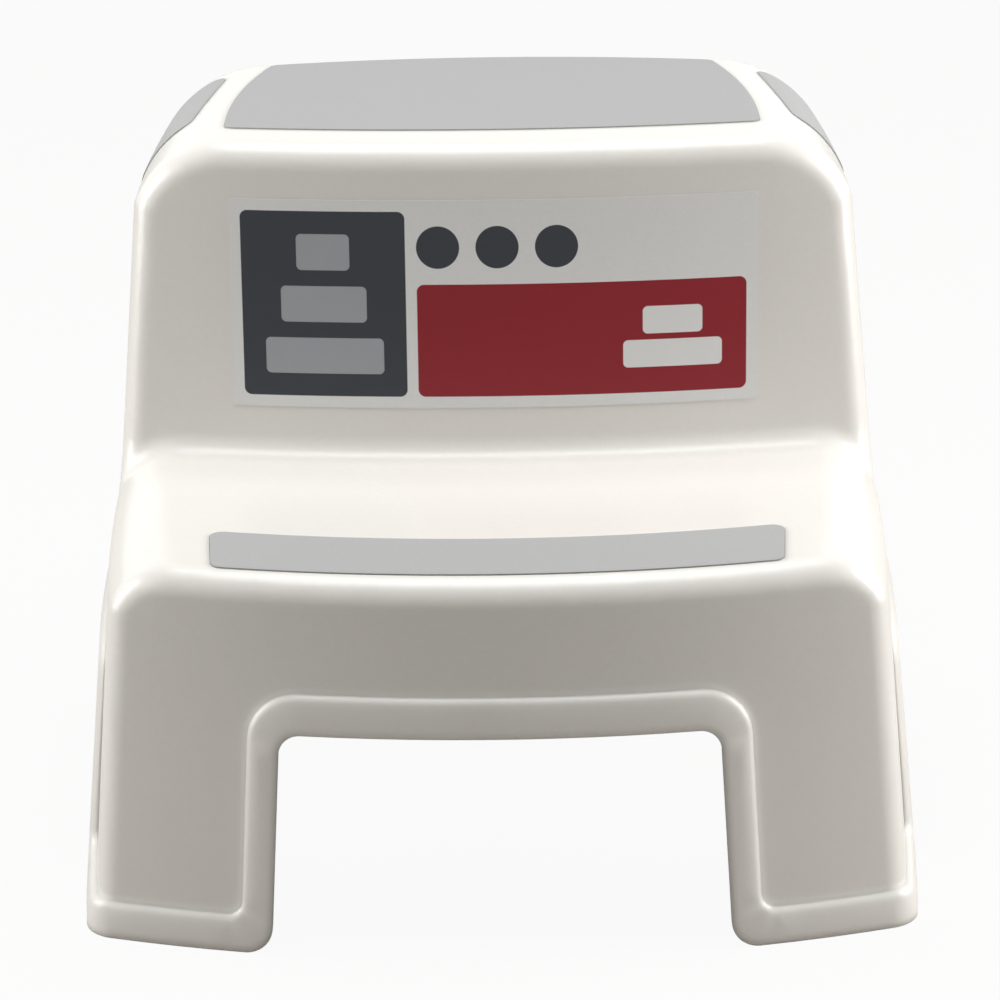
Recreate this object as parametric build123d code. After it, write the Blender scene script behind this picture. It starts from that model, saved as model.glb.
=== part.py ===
from build123d import *
import os
from math import atan, cos, degrees, radians, sin, tan

# A two-step stool: one moulded shell on four legs, with soft inlays on both treads and over
# both upper shoulders, and a paper label on the riser.
# Millimetres.  +X is to the right, +Y to the back and +Z up.  The origin is on the floor,
# midway between the legs.

# Overall sizes
stool_height = 293.0        # floor to the top tread
step_height = 158.0         # floor to the lower tread
floor_depth = 352.0         # front wall to back wall at the floor, on the centre line
floor_width = 352.0         # side wall to side wall at the floor, at mid depth
tread_depth = 144.0         # front edge of the lower tread to the foot of the riser
wall = 3.0                  # thickness of the moulding

# How far each wall leans in, in degrees, and the radius that it bows outwards with
front_lean = 5.0            # front and back walls
riser_lean = 5.0
side_lean = 4.8
front_bow = 540.0           # front and back walls
riser_bow = 800.0
side_bow = 1300.0

# Rounding of the outer skin
top_shoulder_radius = 46.0  # top tread down to the sides
step_shoulder_radius = 30.0 # lower tread down to the sides
shoulder_turn = 68.0        # degrees that a shoulder turns before it meets the side
shoulder_past = 8.0         # degrees that its arc is drawn on past the side
side_round = 14.0           # upper shoulder into the side
front_round = 12.0          # front wall and riser into their treads and the sides
back_round = 10.0           # back wall into the top tread and the sides
riser_foot_round = 10.0     # lower tread into the riser

# Leg openings
opening_height = 94.5
opening_half_top = 88.5     # front and back openings, at their top corners
opening_half_foot = 94.0
side_half_top = 80.0        # side openings
side_half_foot = 86.0
opening_corner = 9.0        # top corners
foot_corner = 12.0          # inner corner of each foot

# Raised rim round the openings and the feet
rim_out = 4.0               # how far it stands out from the walls, at the floor on the sides
side_rim_top = 2.6          # how far it stands out above a side opening
rim_side = 12.0             # its width beside an opening
rim_top = 16.0              # its width above an opening
rim_foot = 14.5             # its height along the floor
rim_corner = 7.0            # corner between the foot rim and the opening rim
rim_soft = 2.2              # slope along its edge

# Ribs under the treads
rib_thickness = 2.0
rib_depth = 12.0
rib_pitch = 60.0

# Soft inlays
inlay_sink = 1.4            # depth of the pocket in the moulding
inlay_proud = 0.5           # how far the inlay stands above it
inlay_gap = 0.15            # clearance round the inlay in its pocket
inlay_glue = 0.1            # film of adhesive between the inlay and the pocket's floor
inlay_corner = 5.0
top_inlay_front = 24.8      # setback from the upper riser edge
top_inlay_back = 10.0       # setback from the back edge
top_inlay_over_front = 3.8  # reach of its front corners onto the shoulders
top_inlay_in_back = 11.7    # its back corners, in from the shoulders
top_inlay_swell = 5.0       # how far its sides swell
step_inlay_front = 9.0      # setback from the front edge
step_inlay_depth = 38.0
step_inlay_in_front = 21.5  # its front corners, in from the shoulders
step_inlay_in_back = 18.5

# Shoulder grips, drawn on a plane that lies across the shoulder
grip_inner_front = 60.0     # setback of the inner edge from the upper riser edge
grip_inner_back = 27.0      # setback of the inner edge from the back edge
grip_outer_front = 55.0     # setback of the lower edge from the upper riser edge
grip_outer_back = 38.0      # setback of the lower edge from the back edge
grip_turn = 45.0            # degrees down the shoulder of the plane's middle
grip_rise_front = 14.6      # inner edge above the plane's middle
grip_rise_back = 26.3
grip_drop = 34.0            # lower edge below the plane's middle
grip_inner_corner = 6.0
grip_outer_corner = 12.0

# Riser label
label_side = 63.5           # its ends, in from the sides at the floor
label_rise = 22.0           # its lower edge above the lower tread
label_drop = 23.0           # its upper edge below the top tread
label_thickness = 0.25
label_glue = 0.1            # film of adhesive between the label and the riser
label_corner = 2.0

# Room beyond the object that a cutting solid reaches, and limits for picking faces and edges
beyond = 60.0
same_way = 0.9              # cosine above which two directions count as one
nearly = 0.01               # length below which two places count as one


def slope(lean):
    return tan(radians(lean))


# Places that follow from the sizes above
front_y = -floor_depth / 2
back_y = floor_depth / 2
front_edge_y = front_y + step_height * slope(front_lean)
riser_y = front_edge_y + tread_depth
riser_edge_y = riser_y + (stool_height - step_height) * slope(riser_lean)
back_edge_y = back_y - stool_height * slope(front_lean)
half_floor = floor_width / 2
side_axis_x = side_bow - half_floor
rim_height = opening_height + rim_top
side_rim_lean = degrees(atan(slope(side_lean) + (rim_out - side_rim_top) / rim_height))
top_tread = (stool_height, top_shoulder_radius)
step_tread = (step_height, step_shoulder_radius)
label_width = 2 * (half_floor - label_side)
label_height = stool_height - step_height - label_rise - label_drop
reach = floor_width + floor_depth


def largest(shapes):
    return max(shapes, key=lambda shape: shape.area)


def facing(solid, direction):
    """Faces of a solid that look more or less along a direction."""
    return [face for face in solid.faces() if face.normal_at().dot(Vector(direction)) > same_way]


def edges_above(face, z):
    """Edges of a wall whose middles lie above a height."""
    return [edge for edge in face.edges() if edge.center().Z > z]


def bowed_wall(x, y, floor_radius, lean, grow, turn=0.0):
    """Solid behind a leaning, bowed wall: an upright cone about the axis of the bow."""
    offset = grow / cos(radians(lean))
    low = floor_radius + offset + beyond * slope(lean)
    top = floor_radius + offset - (stool_height + beyond) * slope(lean)
    cone = Cone(low, top, stool_height + 2 * beyond, align=(Align.CENTER, Align.CENTER, Align.MIN))
    return Pos(x, y, -beyond) * Rot(Z=turn) * cone


def shoulder_centre(tread):
    """Centre of a shoulder's arc, as its distance from the side's bow axis and its height."""
    tread_z, radius = tread
    turn = radians(shoulder_turn)
    centre_z = tread_z - radius
    meet_z = centre_z + radius * cos(turn)
    return side_bow - meet_z * slope(side_lean) - radius * sin(turn), centre_z


def flat_half(tread):
    """Half the width of a tread between its shoulders, at mid depth."""
    return shoulder_centre(tread)[0] - side_axis_x


def under_tread(side, tread, grow):
    """Solid under a tread and its rounded shoulder, turned about the axis of the side's bow."""
    centre_r, centre_z = shoulder_centre(tread)
    radius = tread[1] + grow
    last_turn = radians(shoulder_turn + shoulder_past)

    def on_arc(turn, further=0.0):
        r = centre_r + radius * sin(turn) + further * cos(turn)
        return (r, 0, centre_z + radius * cos(turn) - further * sin(turn))

    start = on_arc(0)
    end = on_arc(last_turn)
    eave = on_arc(last_turn, radius)
    outer_r = eave[0] + 2 * beyond
    outline = Wire([
        Edge.make_line((0, 0, -beyond), (0, 0, start[2])),
        Edge.make_line((0, 0, start[2]), start),
        Edge.make_three_point_arc(start, on_arc(last_turn / 2), end),
        Edge.make_line(end, eave),
        Edge.make_line(eave, (outer_r, 0, eave[2])),
        Edge.make_line((outer_r, 0, eave[2]), (outer_r, 0, -beyond)),
        Edge.make_line((outer_r, 0, -beyond), (0, 0, -beyond)),
    ])
    solid = revolve(Face(outline), Axis.Z, 360)
    return Pos(-side * side_axis_x, 0, 0) * Rot(Z=90 + 90 * side) * solid


def both_shoulders(tread, grow):
    return under_tread(1, tread, grow) & under_tread(-1, tread, grow)


def step_space(grow):
    """Space above the lower tread and in front of the riser, rounded where the two meet."""
    half_width = half_floor + beyond
    space = Box(2 * half_width, floor_depth, stool_height, align=(Align.CENTER, Align.MAX, Align.MIN))
    space = Pos(0, riser_y + beyond, step_height - step_shoulder_radius - beyond / 2) * space
    riser_radius = riser_bow + step_height * slope(riser_lean)
    space -= bowed_wall(0, riser_y + riser_bow, riser_radius, riser_lean, grow)
    space = largest((space - both_shoulders(step_tread, grow)).solids())
    riser = largest(facing(space, (0, 1, 0)))
    foot = [
        edge for edge in riser.edges()
        if edge.center().Z < step_height + grow + wall and abs(edge.center().X) < half_width - wall
    ]
    return fillet(foot, riser_foot_round - grow)


def four_walls(grow, lean_at_sides=side_lean):
    """The leaning, bowed block between the front, back and side walls."""
    block = bowed_wall(-side_axis_x, 0, side_bow, lean_at_sides, grow, turn=180)
    block &= bowed_wall(side_axis_x, 0, side_bow, lean_at_sides, grow)
    block &= bowed_wall(0, front_y + front_bow, front_bow, front_lean, grow)
    return block & bowed_wall(0, back_y - front_bow, front_bow, front_lean, grow, turn=180)


def skin(grow):
    """The whole outer form, offset by grow, down to below the floor."""
    block = four_walls(grow) & under_tread(1, top_tread, grow) & under_tread(-1, top_tread, grow)
    block = largest((block - step_space(grow)).solids())

    shoulders = []
    for side in (1, -1):
        flank = largest(facing(block, (side, 0, 0)))
        shoulders += edges_above(flank, stool_height - top_shoulder_radius)
    block = fillet(shoulders, side_round + grow)

    back = largest(facing(block, (0, 1, 0)))
    block = fillet(edges_above(back, -beyond / 2), back_round + grow)

    fronts = facing(block, (0, -1, 0))
    riser = largest([face for face in fronts if face.center().Z > step_height])
    front = largest([face for face in fronts if face.center().Z < step_height])
    riser_edges = edges_above(riser, step_height + riser_foot_round + wall)
    return fillet(riser_edges + edges_above(front, -beyond / 2), front_round + grow)


def skirt(grow):
    """The lower walls of the rim, offset by grow, with their upright corners rounded."""
    block = four_walls(grow, side_rim_lean)
    for end, radius in ((1, back_round), (-1, front_round)):
        corners = [
            edge for edge in block.edges()
            if abs(edge.tangent_at(0.5).Z) > same_way and end * edge.center().Y > 0
        ]
        block = fillet(corners, radius + grow)
    return block


def arch(half_top, half_foot, height, floor, top_corner, low_corner):
    """Outline of a leg opening with the ground under it, up to a floor level."""
    outline = make_face(Polyline(
        (-reach, -2 * beyond), (-reach, floor), (-half_foot, floor), (-half_top, height),
        (half_top, height), (half_foot, floor), (reach, floor), (reach, -2 * beyond), close=True))
    tops = [corner for corner in outline.vertices() if corner.Y > (floor + height) / 2]
    outline = fillet(tops, top_corner)
    feet = outline.vertices().filter_by(lambda v: abs(v.Y - floor) < nearly and abs(v.X) < reach / 2)
    return fillet(feet, low_corner)


def leg_openings(side, top, floor, top_corner, low_corner):
    """Openings through all four walls, widened by side and top, and the ground below a floor."""
    height = opening_height + top
    along = arch(opening_half_top + side, opening_half_foot + side, height, floor, top_corner, low_corner)
    across = arch(side_half_top + side, side_half_foot + side, height, floor, top_corner, low_corner)
    middle = Box(3 * reach, 2 * (side_half_foot + side + 2 * low_corner), 3 * reach)
    ends = extrude(Plane.XZ * along, reach, both=True) - middle
    return ends + (extrude(Plane.YZ * across, reach, both=True) & middle)


def rib_boxes(tread, y_front, y_back):
    """Ribs under a tread: a row along its depth and one across its middle."""
    under = tread[0] - wall - rib_depth
    tall = rib_depth + wall
    count = int(flat_half(tread) / rib_pitch)
    corner = (Align.CENTER, Align.MIN, Align.MIN)
    along = Box(rib_thickness, y_back - y_front, tall, align=corner)
    across = Box(floor_width, rib_thickness, tall, align=corner)
    ribs = [Pos(place * rib_pitch, y_front, under) * along for place in range(-count, count + 1)]
    return ribs + [Pos(0, (y_front + y_back - rib_thickness) / 2, under) * across]


def bow_depth(bow, half):
    """How far an arc of a bow falls back at a distance from its middle."""
    return bow - (bow**2 - half**2) ** 0.5


def top_inlay_outline(gap):
    """Plan of the top inlay: it follows the bows of the riser and the back, with swollen sides."""
    half_front = flat_half(top_tread) + top_inlay_over_front + gap
    half_back = flat_half(top_tread) - top_inlay_in_back + gap
    front_mid = (0, riser_edge_y + top_inlay_front - gap)
    back_mid = (0, back_edge_y - top_inlay_back + gap)
    front_y_side = front_mid[1] + bow_depth(riser_bow, half_front)
    back_y_side = back_mid[1] - bow_depth(front_bow, half_back)
    swell_x = (half_front + half_back) / 2 + top_inlay_swell
    swell_y = (front_y_side + back_y_side) / 2
    right_front, left_front = (half_front, front_y_side), (-half_front, front_y_side)
    right_back, left_back = (half_back, back_y_side), (-half_back, back_y_side)
    outline = make_face([
        ThreePointArc(left_front, front_mid, right_front),
        ThreePointArc(right_front, (swell_x, swell_y), right_back),
        ThreePointArc(right_back, back_mid, left_back),
        ThreePointArc(left_back, (-swell_x, swell_y), left_front),
    ])
    return fillet(outline.vertices(), inlay_corner + gap)


def step_inlay_outline(gap):
    """Plan of the lower inlay: a band along the front edge."""
    half_front = flat_half(step_tread) - step_inlay_in_front + gap
    half_back = flat_half(step_tread) - step_inlay_in_back + gap
    front_mid = (0, front_edge_y + step_inlay_front - gap)
    back_mid = (0, front_edge_y + step_inlay_front + step_inlay_depth + gap)
    front_y_side = front_mid[1] + bow_depth(front_bow, half_front)
    back_y_side = back_mid[1] + bow_depth(front_bow, half_back)
    right_front, left_front = (half_front, front_y_side), (-half_front, front_y_side)
    right_back, left_back = (half_back, back_y_side), (-half_back, back_y_side)
    outline = make_face([
        ThreePointArc(left_front, front_mid, right_front),
        Line(right_front, right_back),
        ThreePointArc(right_back, back_mid, left_back),
        Line(left_back, left_front),
    ])
    return fillet(outline.vertices(), inlay_corner + gap)


def grip_outline(gap):
    """Right grip, on the plane that touches its shoulder."""
    low = -grip_drop - gap
    outline = make_face(Polyline(
        (riser_edge_y + grip_outer_front - gap, low), (back_edge_y - grip_outer_back + gap, low),
        (back_edge_y - grip_inner_back + gap, grip_rise_back + gap),
        (riser_edge_y + grip_inner_front - gap, grip_rise_front + gap), close=True))
    outline = fillet([corner for corner in outline.vertices() if corner.Y < 0], grip_outer_corner + gap)
    inner = [corner for corner in outline.vertices() if corner.Y > min(grip_rise_front, grip_rise_back)]
    return fillet(inner, grip_inner_corner + gap)


def grip_plane():
    """Plane that touches the right upper shoulder: its x runs to the back, its y up the shoulder."""
    centre_r, centre_z = shoulder_centre(top_tread)
    out = sin(radians(grip_turn))
    up = cos(radians(grip_turn))
    middle = (centre_r - side_axis_x + top_shoulder_radius * out, 0, centre_z + top_shoulder_radius * up)
    return Plane(middle, x_dir=(0, 1, 0), z_dir=(out, 0, up))


def inlay_prisms(gap):
    """The spaces of the four inlays, each as a prism through the skin."""
    deep = step_shoulder_radius
    top = extrude(Pos(0, 0, stool_height - deep) * top_inlay_outline(gap), 2 * deep)
    step = extrude(Pos(0, 0, step_height - deep) * step_inlay_outline(gap), 2 * deep)
    right = extrude(grip_plane() * grip_outline(gap), deep, both=True)
    return {
        "top_tread_inlay": top,
        "lower_tread_inlay": step,
        "right_shoulder_grip": right,
        "left_shoulder_grip": mirror(right, Plane.YZ),
    }


# Moulded shell: outer skin and raised rim, hollowed out, with ribs left standing
outer_skin = skin(0)
rim_skin = skirt(rim_out)
rim_zone = leg_openings(rim_side, rim_top, rim_foot, opening_corner + rim_side, rim_corner)
rim = rim_skin & rim_zone
rim = chamfer(new_edges(rim_skin, rim_zone, combined=rim), rim_soft)
outside = outer_skin + rim

rim_hollow = leg_openings(
    rim_side - wall, rim_top - wall, rim_foot - wall, opening_corner + rim_side - wall, rim_corner + wall)
inside = skin(-wall) + (skirt(rim_out - wall) & rim_hollow)
inside -= rib_boxes(top_tread, riser_y, back_y)
inside -= rib_boxes(step_tread, front_y, riser_y)

inlay_floor = skin(-inlay_sink)
pockets = [prism - inlay_floor for prism in inlay_prisms(inlay_gap).values()]
shell = outside - inside - leg_openings(0, 0, 0, opening_corner, foot_corner) - pockets

# Inlays that fill the pockets and stand a little proud
inlay_top = skin(inlay_proud)
inlay_underside = skin(inlay_glue - inlay_sink)
parts = {"stool_body": shell}
for name, prism in inlay_prisms(0).items():
    parts[name] = (inlay_top & prism) - inlay_underside

# Paper label that lies on the riser
label_middle = step_height + label_rise + label_height / 2
label_outline = Plane.XZ * Pos(0, label_middle) * RectangleRounded(label_width, label_height, label_corner)
label_prism = extrude(label_outline, beyond, both=True)
parts["riser_label"] = (skin(label_glue + label_thickness) & label_prism) - skin(label_glue)

os.makedirs("parts", exist_ok=True)
for name, part in parts.items():
    export_step(part, f"parts/{name}.step")
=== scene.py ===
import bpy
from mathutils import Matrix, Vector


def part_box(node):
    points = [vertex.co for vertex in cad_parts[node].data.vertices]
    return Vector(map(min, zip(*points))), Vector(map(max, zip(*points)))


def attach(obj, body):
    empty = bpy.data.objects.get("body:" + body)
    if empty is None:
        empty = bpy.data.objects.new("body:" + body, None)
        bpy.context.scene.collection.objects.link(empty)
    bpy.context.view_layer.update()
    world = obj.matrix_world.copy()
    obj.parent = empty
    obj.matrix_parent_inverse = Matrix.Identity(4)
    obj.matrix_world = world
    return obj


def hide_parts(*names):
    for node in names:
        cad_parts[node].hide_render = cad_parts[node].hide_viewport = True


bl_info = {
    "name": "Two-Step Stool",
    "version": (1, 0, 0),
    "blender": (4, 5, 0),
    "location": "View3D > Sidebar > Stool",
    "description": "Dresses a moulded two-step stool: glossy shell, soft inlays, riser label and studio",
    "category": "Object",
}

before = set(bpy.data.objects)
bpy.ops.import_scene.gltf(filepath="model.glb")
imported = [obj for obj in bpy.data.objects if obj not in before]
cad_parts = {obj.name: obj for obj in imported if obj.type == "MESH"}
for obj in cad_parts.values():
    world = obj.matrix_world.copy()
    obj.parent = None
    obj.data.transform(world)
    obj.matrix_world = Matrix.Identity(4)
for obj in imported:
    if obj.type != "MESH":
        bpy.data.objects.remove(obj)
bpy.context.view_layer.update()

import math

import bpy
from bpy.props import FloatProperty, FloatVectorProperty, PointerProperty
from mathutils import Matrix, Vector

# The grain's noise, and the part of its range that a finish uses
GRAIN_DETAIL = 2.0
GRAIN_ROUGHNESS = 0.6
GRAIN_LOW = 0.15
GRAIN_HIGH = 0.85
EDGE_SAMPLES = 6

# Sockets of the Mix node when it mixes colours
MIX_COLOURS = slice(6, 8)
MIX_RESULT = 2

# Layout of the label, as shares of the half width or half height of what holds each shape
SLATE_WIDTH = 0.31
SLATE_BARS = (0.72, 0.52, 0.32)
SLATE_BAR_HEIGHT = 0.17
SLATE_BAR_RISE = 0.5
CRIMSON_HEIGHT = 0.54
CRIMSON_BARS = (0.30, 0.18)
CRIMSON_BARS_SIDE = 0.55
CRIMSON_BAR_HEIGHT = 0.24
CRIMSON_BAR_RISE = 0.6
DISC_COUNT = 3
DISC_SIZE = 0.2
DISC_HEIGHT = 0.55
DISC_PITCH = 2.8               # in half discs
FIELD_DEPTH = 1.0              # the fields reach through the paper

# Studio, in metres
FLOOR_SIZE = 14.0
FLOOR_ROUGHNESS = 0.9
FLOOR_GLOW = 0.94              # share of white that the camera sees on the floor
TOP_PANEL_PLACE = (0.0, 0.05, 1.9)
TOP_PANEL_TARGET = (0.0, 0.05, 0.0)
TOP_PANEL_SIZE = (1.3, 1.2)
SIDE_PANEL_PLACE = (1.1, -0.05, 0.45)
SIDE_PANEL_TARGET = (0.0, -0.05, 0.2)
SIDE_PANEL_SIZE = (0.5, 0.8)


# Sizes and colours that a user would change

def colour(name, description, default):
    return FloatVectorProperty(
        name=name, description=description, default=default, size=3, min=0.0, max=1.0, subtype="COLOR")


def length(name, description, default):
    return FloatProperty(
        name=name, description=description, default=default, min=0.0, unit="LENGTH", precision=5)


def share(name, description, default):
    return FloatProperty(
        name=name, description=description, default=default, min=0.0, max=1.0, subtype="FACTOR")


def angle(name, description, degrees):
    return FloatProperty(
        name=name, description=description, default=math.radians(degrees), subtype="ANGLE")


def power(name, description, watts):
    return FloatProperty(name=name, description=description, default=watts, min=0.0, unit="POWER")


def number(name, description, default):
    return FloatProperty(name=name, description=description, default=default, min=0.0)


class BodyFinish(bpy.types.PropertyGroup):
    """Finish of the moulded shell."""

    white: colour("White", "Main colour of the moulding", (0.805, 0.785, 0.742))
    shade: colour("Shade", "Slightly duller colour on the grain's tops", (0.792, 0.770, 0.724))
    roughness: share("Roughness", "Gloss of the moulding: lower is glossier", 0.36)
    gloss_spread: share("Gloss spread", "How far the grain changes the roughness", 0.03)
    coat: share("Gloss layer", "Weight of the clear gloss on the moulding", 0.32)
    coat_roughness: share("Gloss layer roughness", "Lower gives sharper reflections", 0.17)
    refraction: number("Refraction", "Index of refraction of the plastic", 1.49)
    grain_density: number("Grain density", "Grains per metre", 420.0)
    grain_height: length("Grain height", "Height of the fine grain", 0.00002)
    edge_soft: length("Edge softness", "Rounding of the moulding's edges as light sees them", 0.005)
    soft_angle: angle("Soft angle", "Edges flatter than this shade smoothly, on all pieces", 50)
    merge: length("Merge", "Corners closer than this become one, on all pieces", 0.00002)


class InlayFinish(bpy.types.PropertyGroup):
    """Finish of the soft inlays."""

    grey: colour("Grey", "Main colour of the soft inlays", (0.368, 0.370, 0.369))
    pale: colour("Pale grey", "Lighter colour of the grain's tops", (0.408, 0.410, 0.407))
    roughness: share("Roughness", "Matt soft rubber is rough", 0.68)
    gloss_spread: share("Gloss spread", "How far the grain changes the roughness", 0.04)
    shine: share("Shine", "Strength of the reflections", 0.35)
    grain_density: number("Grain density", "Grains per metre", 1500.0)
    grain_height: length("Grain height", "Height of the fine grain", 0.00008)
    edge_soft: length("Edge softness", "Rounding of the inlays' edges as light sees them", 0.0005)


class LabelDesign(bpy.types.PropertyGroup):
    """Paper and colour fields of the plain label on the riser."""

    paper: colour("Paper", "Coated paper", (0.80, 0.80, 0.79))
    fibre: colour("Fibre", "Slightly darker fibres of the paper", (0.775, 0.775, 0.765))
    crimson: colour("Crimson", "Large colour field", (0.262, 0.006, 0.014))
    slate: colour("Slate", "Dark colour field and discs", (0.030, 0.036, 0.046))
    fog: colour("Fog", "Pale bars on the dark field", (0.36, 0.38, 0.40))
    roughness: share("Roughness", "Coated paper has a low gloss", 0.38)
    gloss_spread: share("Gloss spread", "How far the fibres change the roughness", 0.04)
    grain_density: number("Grain density", "Fibres per metre", 700.0)
    grain_height: length("Grain height", "Height of the fibres", 0.00001)
    edge_soft: length("Edge softness", "Paper has sharp edges", 0.0)
    margin: length("Margin", "Bare paper round the colour fields", 0.005)
    field_corner: length("Field corner", "Corner radius of the colour fields", 0.003)
    bar_corner: length("Bar corner", "Corner radius of the bars", 0.002)
    ink_edge: length("Ink edge", "Width over which the ink fades", 0.0003)


class Studio(bpy.types.PropertyGroup):
    """Camera and light."""

    camera_side: length("Camera side", "How far right of the stool's middle the camera stands", 0.0013)
    camera_back: length("Camera distance", "How far in front of the stool's middle it stands", 1.5685)
    camera_height: length("Camera height", "Height of the camera above the floor", 0.7327)
    camera_pitch: angle("Camera pitch", "How far the camera looks down", 20.985)
    camera_roll: angle("Camera roll", "How far the picture leans", 0.75)
    lens: FloatProperty(
        name="Lens", description="Focal length in millimetres", default=138.4, min=10.0, unit="CAMERA")
    top_light: power("Top light", "Power of the overhead panel", 26.8)
    left_light: power("Left light", "Power of the left panel", 8.0)
    right_light: power("Right light", "Power of the right panel", 10.5)
    room_light: number("Room light", "Strength of the light from all round", 0.15)
    floor: colour("Floor", "Pale floor", (0.51, 0.483, 0.448))


# Shader groups that several materials share

def add_node(tree, kind, settings=None, values=None):
    node = tree.nodes.new(kind)
    for key, value in (settings or {}).items():
        setattr(node, key, value)
    for key, value in (values or {}).items():
        node.inputs[key].default_value = value
    return node


def new_group(name, inputs, outputs):
    group = bpy.data.node_groups.new(name, "ShaderNodeTree")
    for label, kind in inputs:
        group.interface.new_socket(name=label, in_out="INPUT", socket_type=kind)
    for label, kind in outputs:
        group.interface.new_socket(name=label, in_out="OUTPUT", socket_type=kind)
    return group, group.nodes.new("NodeGroupInput"), group.nodes.new("NodeGroupOutput")


def grain_group():
    """A fine grain over softly rounded edges, from the object's own coordinates."""
    group, source, target = new_group(
        "fine_grain",
        [("Vector", "NodeSocketVector"), ("Grain Scale", "NodeSocketFloat"),
         ("Grain Height", "NodeSocketFloat"), ("Edge Radius", "NodeSocketFloat")],
        [("Grain", "NodeSocketFloat"), ("Normal", "NodeSocketVector")])
    link = group.links.new
    fine = add_node(group, "ShaderNodeTexNoise",
                    values={"Detail": GRAIN_DETAIL, "Roughness": GRAIN_ROUGHNESS})
    edge = add_node(group, "ShaderNodeBevel", {"samples": EDGE_SAMPLES})
    bump = add_node(group, "ShaderNodeBump", values={"Strength": 1.0})
    link(source.outputs["Vector"], fine.inputs["Vector"])
    link(source.outputs["Grain Scale"], fine.inputs["Scale"])
    link(source.outputs["Grain Height"], bump.inputs["Distance"])
    link(source.outputs["Edge Radius"], edge.inputs["Radius"])
    link(edge.outputs["Normal"], bump.inputs["Normal"])
    link(fine.outputs["Fac"], bump.inputs["Height"])
    link(fine.outputs["Fac"], target.inputs["Grain"])
    link(bump.outputs["Normal"], target.inputs["Normal"])
    return group


def field_group():
    """Mask of a rounded rectangle that stands upright and faces along Y."""
    group, source, target = new_group(
        "printed_field",
        [("Vector", "NodeSocketVector"), ("Centre", "NodeSocketVector"),
         ("Half Size", "NodeSocketVector"), ("Corner", "NodeSocketFloat"),
         ("Soft Edge", "NodeSocketFloat")],
        [("Mask", "NodeSocketFloat")])
    link = group.links.new
    away = add_node(group, "ShaderNodeVectorMath", {"operation": "SUBTRACT"})
    fold = add_node(group, "ShaderNodeVectorMath", {"operation": "ABSOLUTE"})
    past = add_node(group, "ShaderNodeVectorMath", {"operation": "SUBTRACT"})
    grow = add_node(group, "ShaderNodeVectorMath", {"operation": "ADD"})
    keep = add_node(group, "ShaderNodeVectorMath", {"operation": "MAXIMUM"}, {1: (0.0, 0.0, 0.0)})
    flat = add_node(group, "ShaderNodeVectorMath", {"operation": "MULTIPLY"}, {1: (1.0, 0.0, 1.0)})
    span = add_node(group, "ShaderNodeVectorMath", {"operation": "LENGTH"})
    outside = add_node(group, "ShaderNodeMath", {"operation": "SUBTRACT"})
    mask = add_node(group, "ShaderNodeMapRange", {"interpolation_type": "SMOOTHSTEP"},
                    {"To Min": 1.0, "To Max": 0.0})
    link(source.outputs["Vector"], away.inputs[0])
    link(source.outputs["Centre"], away.inputs[1])
    link(away.outputs["Vector"], fold.inputs[0])
    link(fold.outputs["Vector"], past.inputs[0])
    link(source.outputs["Half Size"], past.inputs[1])
    link(past.outputs["Vector"], grow.inputs[0])
    link(source.outputs["Corner"], grow.inputs[1])
    link(grow.outputs["Vector"], keep.inputs[0])
    link(keep.outputs["Vector"], flat.inputs[0])
    link(flat.outputs["Vector"], span.inputs[0])
    link(span.outputs["Value"], outside.inputs[0])
    link(source.outputs["Corner"], outside.inputs[1])
    link(outside.outputs["Value"], mask.inputs["Value"])
    link(source.outputs["Soft Edge"], mask.inputs["From Max"])
    link(mask.outputs["Result"], target.inputs["Mask"])
    return group


def add_group(tree, name, make, place, values):
    """Places a shared group, built at its first use, and feeds it coordinates."""
    group = bpy.data.node_groups.get(name) or make()
    node = add_node(tree, "ShaderNodeGroup", {"node_tree": group}, values)
    tree.links.new(place, node.inputs["Vector"])
    return node


def mix_colours(tree, factor, first, second):
    """Mixes two colours by a varying factor; each is a socket or a fixed colour."""
    mix = add_node(tree, "ShaderNodeMix", {"data_type": "RGBA"})
    tree.links.new(factor, mix.inputs["Factor"])
    for socket, value in zip(mix.inputs[MIX_COLOURS], (first, second)):
        if isinstance(value, bpy.types.NodeSocket):
            tree.links.new(value, socket)
        else:
            socket.default_value = (*value, 1.0)
    return mix.outputs[MIX_RESULT]


def vary(tree, value, low, high):
    """Maps the grain onto a range."""
    spread = add_node(tree, "ShaderNodeMapRange", {"interpolation_type": "SMOOTHERSTEP"},
                      {"From Min": GRAIN_LOW, "From Max": GRAIN_HIGH, "To Min": low, "To Max": high})
    tree.links.new(value, spread.inputs["Value"])
    return spread.outputs["Result"]


# Materials

def new_material(name):
    """A material, its tree and its Principled shader."""
    material = bpy.data.materials.new(name)
    material.use_nodes = True
    return material, material.node_tree, material.node_tree.nodes["Principled BSDF"]


def add_finish(tree, shader, finish, place, lows, tops):
    """Gives a shader the grain, gloss and edges of a finish, and returns its mixed colour."""
    grain = add_group(tree, "fine_grain", grain_group, place, {
        "Grain Scale": finish.grain_density, "Grain Height": finish.grain_height,
        "Edge Radius": finish.edge_soft})
    height = grain.outputs["Grain"]
    mixed = mix_colours(tree, vary(tree, height, 0.0, 1.0), lows, tops)
    dull = vary(tree, height, finish.roughness - finish.gloss_spread,
                finish.roughness + finish.gloss_spread)
    tree.links.new(mixed, shader.inputs["Base Color"])
    tree.links.new(dull, shader.inputs["Roughness"])
    tree.links.new(grain.outputs["Normal"], shader.inputs["Normal"])
    return mixed


def object_place(tree):
    return add_node(tree, "ShaderNodeTexCoord").outputs["Object"]


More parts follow.
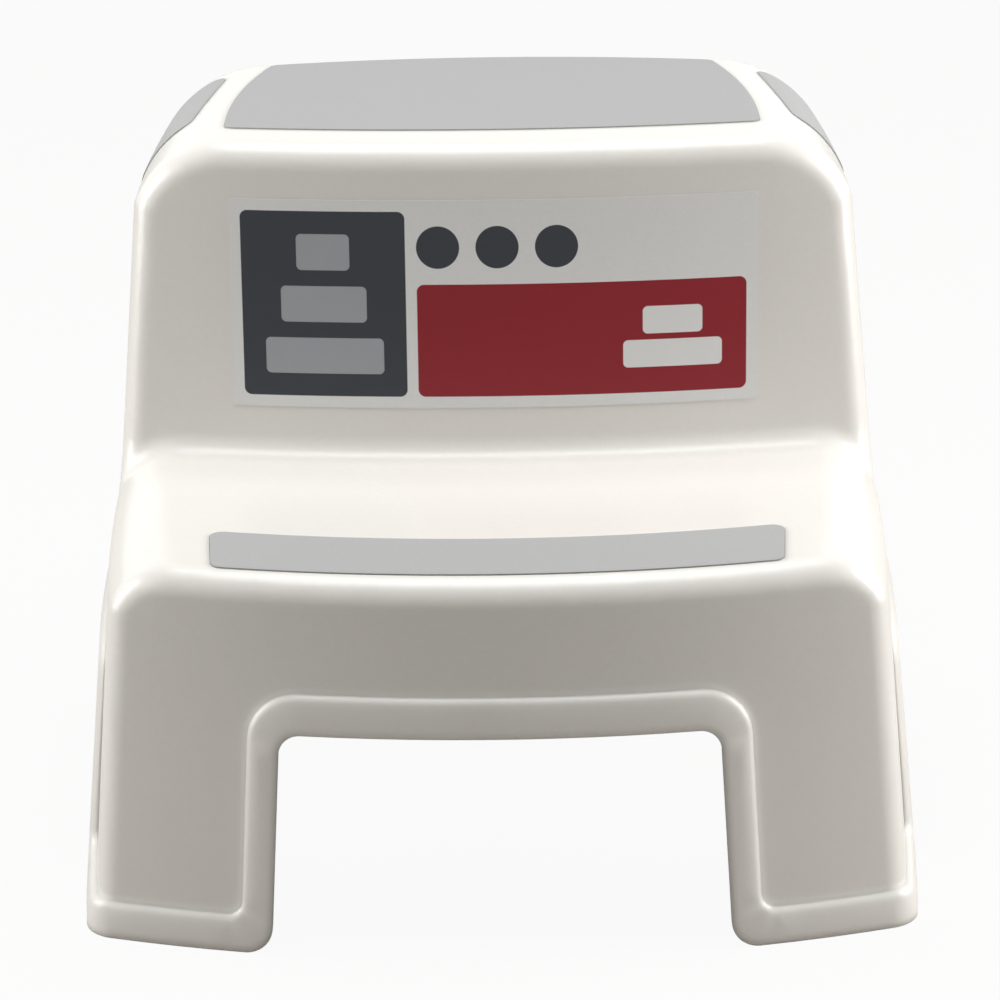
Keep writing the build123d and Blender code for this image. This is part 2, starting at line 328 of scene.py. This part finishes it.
def white_moulding(finish):
    material, tree, shader = new_material("white_moulding")
    add_finish(tree, shader, finish, object_place(tree), finish.white, finish.shade)
    shader.inputs["IOR"].default_value = finish.refraction
    shader.inputs["Coat Weight"].default_value = finish.coat
    shader.inputs["Coat Roughness"].default_value = finish.coat_roughness
    return material


def soft_rubber(finish):
    material, tree, shader = new_material("soft_rubber")
    add_finish(tree, shader, finish, object_place(tree), finish.grey, finish.pale)
    shader.inputs["Specular IOR Level"].default_value = finish.shine
    return material


def printed_paper(design):
    material, tree, shader = new_material("printed_paper")
    place = object_place(tree)
    printed = add_finish(tree, shader, design, place, design.paper, design.fibre)
    low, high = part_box("riser_label")
    middle = (low + high) / 2
    for ink, x, z, half_x, half_z, corner in label_fields(design, high - low):
        field = add_group(tree, "printed_field", field_group, place, {
            "Centre": (middle.x + x, middle.y, middle.z + z), "Half Size": (half_x, FIELD_DEPTH, half_z),
            "Corner": corner, "Soft Edge": design.ink_edge})
        printed = mix_colours(tree, field.outputs["Mask"], printed, ink)
    tree.links.new(printed, shader.inputs["Base Color"])
    return material


def label_fields(design, size):
    """Plain colour fields as (ink, centre x, centre z, half width, half height, corner)."""
    wide = size.x / 2
    tall = size.z / 2
    margin = design.margin
    slate_half = wide * SLATE_WIDTH
    slate_x = margin + slate_half - wide
    red_half = wide - slate_half - 3 * margin / 2
    red_x = wide - margin - red_half
    red_tall = tall * CRIMSON_HEIGHT
    red_z = margin + red_tall - tall
    fields = [
        (design.slate, slate_x, 0.0, slate_half, tall - margin, design.field_corner),
        (design.crimson, red_x, red_z, red_half, red_tall, design.field_corner),
    ]
    fields += stacked_bars(
        design.fog, (slate_x, 0.0), [slate_half * bar for bar in SLATE_BARS],
        tall * SLATE_BAR_HEIGHT, tall * SLATE_BAR_RISE, design.bar_corner)
    fields += stacked_bars(
        design.paper, (red_x + red_half * CRIMSON_BARS_SIDE, red_z),
        [red_half * bar for bar in CRIMSON_BARS],
        red_tall * CRIMSON_BAR_HEIGHT, red_tall * CRIMSON_BAR_RISE, design.bar_corner)
    disc = tall * DISC_SIZE
    for count in range(DISC_COUNT):
        disc_x = red_x - red_half + disc + count * disc * DISC_PITCH
        fields.append((design.slate, disc_x, tall * DISC_HEIGHT, disc, disc, disc))
    return fields


def stacked_bars(ink, centre, half_widths, half_height, rise, corner):
    """Bars one above the other, from the lowest up."""
    middle = (len(half_widths) - 1) / 2
    return [(ink, centre[0], centre[1] + (step - middle) * rise, half_width, half_height, corner)
            for step, half_width in enumerate(half_widths)]


# Pieces

def copy_of_node(node, piece_name):
    """A new piece with a copy of a CAD node's mesh, its loose triangles joined."""
    bpy.ops.object.select_all(action="DESELECT")
    piece = bpy.data.objects.new(piece_name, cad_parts[node].data.copy())
    piece.data.name = piece_name
    bpy.context.scene.collection.objects.link(piece)
    bpy.context.view_layer.objects.active = piece
    piece.select_set(True)
    bpy.ops.mesh.customdata_custom_splitnormals_clear()
    bpy.ops.object.mode_set(mode="EDIT")
    bpy.ops.mesh.select_all(action="SELECT")
    bpy.ops.mesh.remove_doubles(threshold=bpy.context.scene.stool_body.merge)
    bpy.ops.object.mode_set(mode="OBJECT")
    return piece


def soften(piece):
    """Smooth shading over rounded places, weighted so that flat faces stay flat."""
    bpy.ops.object.shade_smooth_by_angle(angle=bpy.context.scene.stool_body.soft_angle)
    bpy.ops.object.modifier_add(type="WEIGHTED_NORMAL")
    piece.modifiers[-1].keep_sharp = True
    bpy.ops.object.modifier_apply(modifier=piece.modifiers[-1].name)


def dress(piece, material, node):
    """Gives a piece its material and puts it in the place of its CAD node."""
    piece.data.materials.clear()
    piece.data.materials.append(material)
    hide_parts(node)
    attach(piece, "root")


class STOOL_OT_body(bpy.types.Operator):
    """Builds the moulded shell with its treads, walls, legs and rim."""

    bl_idname = "stool.body"
    bl_label = "Moulded Shell"

    def execute(self, context):
        shell = copy_of_node("stool_body", "moulded_shell")
        soften(shell)
        dress(shell, white_moulding(context.scene.stool_body), "stool_body")
        return {"FINISHED"}


class STOOL_OT_inlays(bpy.types.Operator):
    """Builds the soft inlays of both treads and both shoulders."""

    bl_idname = "stool.inlays"
    bl_label = "Soft Inlays"

    def execute(self, context):
        rubber = soft_rubber(context.scene.stool_inlays)
        for node in ("top_tread_inlay", "lower_tread_inlay", "left_shoulder_grip", "right_shoulder_grip"):
            inlay = copy_of_node(node, "soft_" + node)
            soften(inlay)
            dress(inlay, rubber, node)
        return {"FINISHED"}


class STOOL_OT_label(bpy.types.Operator):
    """Builds the plain printed label on the riser."""

    bl_idname = "stool.label"
    bl_label = "Riser Label"

    def execute(self, context):
        label = copy_of_node("riser_label", "printed_label")
        soften(label)
        dress(label, printed_paper(context.scene.stool_label), "riser_label")
        return {"FINISHED"}


# Stage

def floor_material(floor_colour):
    """Pale floor that reads as white to the camera and still takes a soft shadow."""
    material, tree, shader = new_material("pale_floor")
    shader.inputs["Base Color"].default_value = (*floor_colour, 1.0)
    shader.inputs["Roughness"].default_value = FLOOR_ROUGHNESS
    shader.inputs["Specular IOR Level"].default_value = 0.0
    rays = add_node(tree, "ShaderNodeLightPath")
    seen = add_node(tree, "ShaderNodeMath", {"operation": "MULTIPLY"}, {1: FLOOR_GLOW})
    glow = add_node(tree, "ShaderNodeEmission", values={"Strength": 1.0})
    blend = add_node(tree, "ShaderNodeMixShader")
    output = tree.nodes["Material Output"]
    tree.links.new(rays.outputs["Is Camera Ray"], seen.inputs[0])
    tree.links.new(seen.outputs["Value"], blend.inputs["Fac"])
    tree.links.new(shader.outputs["BSDF"], blend.inputs[1])
    tree.links.new(glow.outputs["Emission"], blend.inputs[2])
    tree.links.new(blend.outputs["Shader"], output.inputs["Surface"])
    return material


def light_world(strength):
    """White to the camera and in reflections, softer as a light."""
    world = bpy.data.worlds.new("studio")
    world.use_nodes = True
    bpy.context.scene.world = world
    tree = world.node_tree
    back = tree.nodes["Background"]
    back.inputs["Color"].default_value = (1.0, 1.0, 1.0, 1.0)
    rays = add_node(tree, "ShaderNodeLightPath")
    seen = add_node(tree, "ShaderNodeMath", {"operation": "MAXIMUM"})
    level = add_node(tree, "ShaderNodeMapRange", values={"To Min": strength, "To Max": 1.0})
    tree.links.new(rays.outputs["Is Camera Ray"], seen.inputs[0])
    tree.links.new(rays.outputs["Is Glossy Ray"], seen.inputs[1])
    tree.links.new(seen.outputs["Value"], level.inputs["Value"])
    tree.links.new(level.outputs["Result"], back.inputs["Strength"])


def add_panel_light(name, place, target, size, watts):
    """A rectangular soft light at a place, turned to its target."""
    bpy.ops.object.light_add(type="AREA", location=place)
    lamp = bpy.context.active_object
    lamp.name = name
    lamp.data.shape = "RECTANGLE"
    lamp.data.size, lamp.data.size_y = size
    lamp.data.energy = watts
    lamp.rotation_euler = (Vector(target) - Vector(place)).to_track_quat("-Z", "Y").to_euler()


def add_camera(studio):
    """The camera at the photograph's viewing angle."""
    aim = Matrix.Rotation(math.pi / 2 - studio.camera_pitch, 4, "X")
    lean = Matrix.Rotation(-studio.camera_roll, 4, "Z")
    bpy.ops.object.camera_add(
        location=(studio.camera_side, -studio.camera_back, studio.camera_height),
        rotation=(aim @ lean).to_euler())
    camera = bpy.context.active_object
    camera.data.lens = studio.lens
    bpy.context.scene.camera = camera


class STOOL_OT_studio(bpy.types.Operator):
    """Builds the floor, the soft lights and the camera."""

    bl_idname = "stool.studio"
    bl_label = "Studio"

    def execute(self, context):
        studio = context.scene.stool_studio
        bpy.ops.object.select_all(action="DESELECT")
        bpy.ops.mesh.primitive_plane_add(size=FLOOR_SIZE)
        floor = context.active_object
        floor.name = "floor"
        floor.data.materials.append(floor_material(studio.floor))
        light_world(studio.room_light)
        add_panel_light("top_panel", TOP_PANEL_PLACE, TOP_PANEL_TARGET, TOP_PANEL_SIZE, studio.top_light)
        x, y, z = SIDE_PANEL_PLACE
        for name, side, watts in (("left_panel", -1, studio.left_light),
                                  ("right_panel", 1, studio.right_light)):
            add_panel_light(name, (side * x, y, z), SIDE_PANEL_TARGET, SIDE_PANEL_SIZE, watts)
        add_camera(studio)
        context.scene.view_settings.view_transform = "Standard"
        return {"FINISHED"}


class STOOL_PT_panel(bpy.types.Panel):
    """Sidebar panel with the stool's settings and builders."""

    bl_idname = "STOOL_PT_panel"
    bl_label = "Two-Step Stool"
    bl_space_type = "VIEW_3D"
    bl_region_type = "UI"
    bl_category = "Stool"

    def draw(self, context):
        for builder, settings in BUILDERS:
            box = self.layout.box()
            group = getattr(context.scene, settings)
            for name in group.__annotations__:
                box.prop(group, name)
            box.operator(builder.bl_idname)


BUILDERS = (
    (STOOL_OT_body, "stool_body"),
    (STOOL_OT_inlays, "stool_inlays"),
    (STOOL_OT_label, "stool_label"),
    (STOOL_OT_studio, "stool_studio"),
)
SETTINGS = {
    "stool_body": BodyFinish,
    "stool_inlays": InlayFinish,
    "stool_label": LabelDesign,
    "stool_studio": Studio,
}
CLASSES = (*SETTINGS.values(), *(builder for builder, settings in BUILDERS), STOOL_PT_panel)


def register():
    for cls in CLASSES:
        bpy.utils.register_class(cls)
    for name, group in SETTINGS.items():
        setattr(bpy.types.Scene, name, PointerProperty(type=group))


def unregister():
    for name in SETTINGS:
        delattr(bpy.types.Scene, name)
    for cls in reversed(CLASSES):
        bpy.utils.unregister_class(cls)


def main():
    register()
    bpy.ops.stool.body()
    bpy.ops.stool.inlays()
    bpy.ops.stool.label()
    bpy.ops.stool.studio()


if __name__ == "__main__":
    main()
